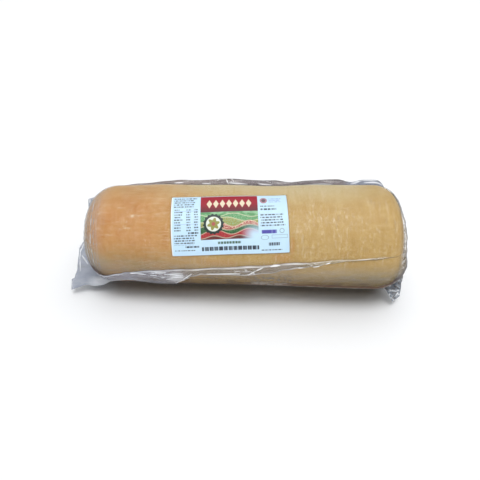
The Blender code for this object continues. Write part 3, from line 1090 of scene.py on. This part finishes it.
def words(paper, x, y, box, pitch, height, word, ragged, missing=0.05):
    """Rows of plain bars in a box, cut into words of chance lengths, as small print reads."""
    left, top, right = box[:3]
    row = ((y - top) / pitch).whole()
    down = y - top - row * pitch
    row_end = right - (right - left) * ragged * paper.chance(paper.joined(row, left, 1.0))
    place = (x - left) / word + paper.chance(paper.joined(row, left, 2.0)) * 5
    cell = place.whole()
    along = place - cell
    kept = paper.chance(paper.joined(cell, row, left)).rise(missing - 0.02, missing)
    cut = abs(along - 0.5).rise(0.46, 0.38)
    inked = down.rise(height + 0.12, height - 0.12) * x.rise(row_end + 0.2, row_end - 0.2)
    patchy = 0.5 if height < 2 else 0.15
    spread = paper.chance(paper.joined((x * 1.1).whole(), row, top)).rise(0.25, 0.45)
    ink = 1 - patchy + spread * patchy
    return block(x, y, box) * inked * kept * cut * ink


def hill(x, y, height, swell, length, start):
    """1 below a wavy line at a height down the picture, and 0 above it."""
    line = height + (x * (tau / length) + start).sine() * swell
    return (y - line).rise(-0.3, 0.3)


def picture(paper, x, y, blank):
    """A made-up picture of rolling fields under a pale green sky."""
    spot = paper.joined(x, y, 0.0)
    grain = paper.cloud((0.9, 0.9, 0), 3, 0.6, at=spot)
    drift = paper.cloud((0.16, 0.3, 0), at=spot)
    scene = paper.mix(LEAF_PALE, LEAF, (drift + grain * 0.3).rise(0.5, 0.78))
    fields = (
        (21.0, 1.8, 34, 0.6, LEAF, LEAF_PALE),
        (25.0, 2.2, 41, 3.4, OLIVE, LEAF_PALE),
        (29.0, 2.6, 29, 1.9, ROSE, CREAM),
        (32.5, 2.2, 37, 5.2, DEEP_LEAF, LEAF),
        (36.0, 2.4, 31, 3.0, BERRY, ROSE),
        (40.5, 1.2, 23, 0.4, WINE, DEEP_LEAF),
    )
    for height, swell, length, start, body, fleck in fields:
        tint = paper.mix(body, fleck, grain.rise(0.46, 0.64) * 0.75)
        lit = hill(x, y, height, swell, length, start)
        rim = lit - hill(x, y, height + 0.7, swell, length, start)
        scene = paper.mix(paper.mix(scene, tint, lit), CREAM, rim * 0.5)
    washed = x.rise(62, 76) * y.rise(28, 40)
    return paper.mix(scene, blank, washed)


def seal(paper, x, y, under):
    """A plain seal with a scalloped rim: a flower on a cream disc."""
    middle = (38.6, 29.0)
    away = distance(x, y, middle)
    turn = (y - middle[1]).turn_from(x - middle[0])
    scallops = away + (turn * 16).sine() * 0.5
    petals = away + (turn * 6).sine() * 1.1
    return paper.layered(
        under,
        (SEAL_RING, scallops.rise(9.3, 9.0)),
        (SEAL_PALE, away.rise(6.9, 6.6)),
        (OLIVE, petals.rise(4.9, 4.5)),
        (ROSE, away.rise(1.9, 1.6)),
    )


def printed(name, print_on):
    """Pale satin paper that carries a print: print_on gives its colour at x and y."""
    paper = Finish(name)
    u, v = paper.parts(paper.node("UVMap", {}, uv_map="print"))[:2]
    x = u * (LABEL_WIDTH * 1000)
    y = (1 - v) * (LABEL_HEIGHT * 1000)
    shade = paper.cloud((90, 90, 90), 3, 0.6)
    bare = paper.mix(PAPER, PAPER_SHADE, shade.rise(0.4, 0.75) * 0.3)
    # Painted glint: a pale line along the label's left edge.
    bare = paper.mix(bare, PAPER_EDGE_GLINT, x.rise(1.5, 0.7))
    ripples = paper.cloud((26, 60, 60))
    return paper.wear(
        Base_Color=print_on(paper, x, y, bare),
        Roughness=0.36 + shade * 0.12,
        Specular_IOR_Level=0.35,
        Normal=paper.bump(ripples * 0.8 + shade * 0.1, 0.0015),
    )


def with_words(paper, x, y, colour, rows):
    """The colour with rows of bars on it: (ink, box, pitch, height, word, ragged, missing)."""
    for ink, *layout in rows:
        shown = words(paper, x, y, *layout)
        colour = paper.mix(colour, ink, shown * 0.95)
    return colour


def left_print(paper, x, y, bare):
    """A column of small print with a table of three columns in it."""
    rows = (
        (GREY, (2.5, 1.6, 25, 13.2), 2.3, 1.2, 3.4, 0.2),
        (GREY, (3.0, 14, 11.0, 35), 2.4, 1.2, 2.6, 0.45),
        (GREY, (14.0, 14, 18.4, 35), 2.4, 1.2, 2.4, 0.2),
        (GREY, (21.0, 14, 25, 35), 2.4, 1.2, 2.2, 0.15),
        (NAVY, (15.5, 35.5, 25, 37.2), 4.0, 1.6, 3.2, 0.0, 0.02),
        (GREY, (2.5, 38, 25, 47), 2.2, 1.2, 3.2, 0.2),
        (NAVY, (12.6, 48, 25, 49.8), 4.0, 1.6, 3.2, 0.0, 0.02),
        (GREY, (3, 51.6, 24, 53), 4.0, 0.9, 3.0, 0.15),
    )
    lines = block(x, y, (2.6, 15.8, 25, 16.1)) + block(x, y, (2.6, 28.2, 25, 28.5))
    return with_words(paper, x, y, paper.mix(bare, BLUE, lines), rows)


def picture_print(paper, x, y, bare):
    """A red band with a row of lozenges over a made-up picture with a seal."""
    place = (x - 31.9) / 6.0
    lozenge = abs(place - place.whole() - 0.5) * 2 + abs(y - 9.2) / 5.4
    row = lozenge.rise(0.9, 0.8) * block(x, y, (31.9, 3, 73.9, 16))
    band = paper.layered(BAND_RED, (BAND_DARK, y.rise(7, 19)), (CREAM, row * 0.9))
    colour = paper.layered(
        bare,
        (picture(paper, x, y, bare), block(x, y, (26.8, 17.8, 79, 43))),
        (band, block(x, y, (26.8, 0.4, 79, 17.8))),
    )
    return seal(paper, x, y, colour)


def name_print(paper, x, y, bare):
    """Two lines of plain bars, a small green one over a bold dark one."""
    rows = (
        (DEEP_LEAF, (42, 45.0, 63, 47.6), 4.0, 2.2, 2.6, 0.0, 0.0),
        (NAVY, (27.4, 49.4, 79.0, 53.4), 9.0, 3.7, 4.3, 0.0, 0.08),
    )
    return with_words(paper, x, y, bare, rows)


def right_print(paper, x, y, bare):
    """Small print with a plain round mark, a violet bar, a ring, an oval and a rounded frame."""
    rows = (
        (BLUE, (89, 4.0, 101, 9.6), 1.9, 1.1, 4.0, 0.15, 0.02),
        (GREY, (81, 12.4, 96, 15.0), 2.9, 1.3, 3.4, 0.2),
        (NAVY, (81, 15.4, 97, 18.0), 2.9, 1.8, 3.4, 0.2, 0.02),
        (GREY, (81, 21.3, 104, 33.6), 2.5, 1.3, 3.4, 0.25),
        (VIOLET, (81, 35.9, 96.3, 39.2), 9.0, 3.3, 16.0, 0.0, 0.0),
        (GREY, (87.5, 47.2, 97.5, 50.8), 5.0, 2.8, 2.1, 0.0, 0.0),
        (GREY, (81, 53.4, 101, 54.8), 4.0, 1.0, 3.0, 0.15),
    )
    mark = distance(x, y, (84.5, 6.5))
    ring = abs(distance(x, y, (99.8, 37.1)) - 1.9).rise(0.45, 0.2)
    oval = abs(distance(x, y * 1.7, (84.4, 72.4)) - 3.3).rise(0.45, 0.2)
    frame_line = block(x, y, (90.5, 40.4, 104.9, 43.6)) - block(x, y, (90.9, 40.8, 104.5, 43.2))
    return paper.layered(
        with_words(paper, x, y, bare, rows),
        (BERRY, mark.rise(3.5, 3.2) * 0.7),
        (SEAL_RING, mark.rise(2.0, 1.7) * 0.7),
        (GREY, (ring + frame_line + oval).least(1.0) * 0.5),
    )


# The studio


def sun(name, energy, width, turned):
    """A distant lamp, its width and its turn about x and y in degrees."""
    light = bpy.data.lights.new(name, "SUN")
    light.energy = energy
    light.angle = radians(width)
    lamp = placed(name, light)
    lamp.rotation_euler = (radians(turned[0]), radians(turned[1]), 0)
    return lamp


def group(name, pieces):
    together = bpy.data.collections.new(name)
    for piece in pieces:
        together.objects.link(piece)
    return together


def plain_floor():
    """A wide, pale floor just under the pack."""
    bm = bmesh.new()
    bmesh.ops.create_grid(bm, x_segments=1, y_segments=1, size=FLOOR_REACH)
    pale = Finish("pale_floor").wear(Base_Color=FLOOR_COLOUR, Roughness=FLOOR_ROUGHNESS)
    floor = shaped("floor", bm, pale)
    floor.location.z = PACK_LOW.z - FLOOR_GAP
    return floor


def view():
    """The camera, at the photograph's viewing angle."""
    lens = bpy.data.cameras.new("view")
    lens.lens = LENS_MM
    camera = placed("view", lens)
    level = cos(VIEW_RISE)
    away = Vector((sin(VIEW_SIDE) * level, -cos(VIEW_SIDE) * level, sin(VIEW_RISE)))
    camera.location = VIEW_AIM + away * VIEW_DISTANCE
    camera.rotation_euler = (-away).to_track_quat("-Z", "Y").to_euler()
    bpy.context.scene.camera = camera
    bpy.context.scene.view_settings.view_transform = "Standard"


def studio(pieces):
    """A pale floor, soft lights from over and before the pieces, and the camera."""
    floor_alone = group("floor_alone", [plain_floor()])
    world = bpy.data.worlds.new("surround")
    world.use_nodes = True
    surround = world.node_tree.nodes["Background"]
    surround.inputs["Color"].default_value = (1, 1, 1, 1)
    surround.inputs["Strength"].default_value = SURROUND_STRENGTH
    bpy.context.scene.world = world

    sun("overhead", *OVERHEAD)
    sun("overhead_wide", *OVERHEAD_WIDE)
    front = sun("front_fill", *FRONT_FILL)
    front.light_linking.receiver_collection = group("lit_from_the_front", pieces)
    glow = sun("floor_glow", *FLOOR_GLOW)
    glow.data.color = FLOOR_GLOW_COLOUR
    glow.light_linking.receiver_collection = floor_alone
    glow.light_linking.blocker_collection = floor_alone
    view()


def main():
    ear_film = slack_film_finish("ear_film", ASH, 0.62)
    twist_turns = ((FAWN, 2, 0.018, 0.03),)
    twist_film = slack_film_finish("twist_film", SLATE, 0.6, 2.2, 4.0, twist_turns)
    fin_turns = ((TAUPE, 0, 0.01, -0.05), (ASH, 0, 0.104, 0.114))
    fin_film = slack_film_finish("fin_film", DUSK, 0.6, turns=fin_turns)
    flap_turns = ((LAVENDER, 0, -0.03, -0.08), (HAY, 0, 0.05, 0.085))
    flap_film = slack_film_finish("flap_film", TAN, 0.38, turns=flap_turns)
    pieces = [
        cheese(cheese_finish()),
        skin_film(tight_film_finish()),
        back_fin(fin_film),
        front_flap(flap_film),
        end_web("left_web", -1, ear_film, **LEFT_WEB),
        end_web("right_web", 1, twist_film, **RIGHT_WEB),
        label(
            printed("left_panel", left_print),
            printed("picture_panel", picture_print),
            printed("name_panel", name_print),
            printed("right_panel", right_print),
        ),
    ]
    studio(pieces)


main()
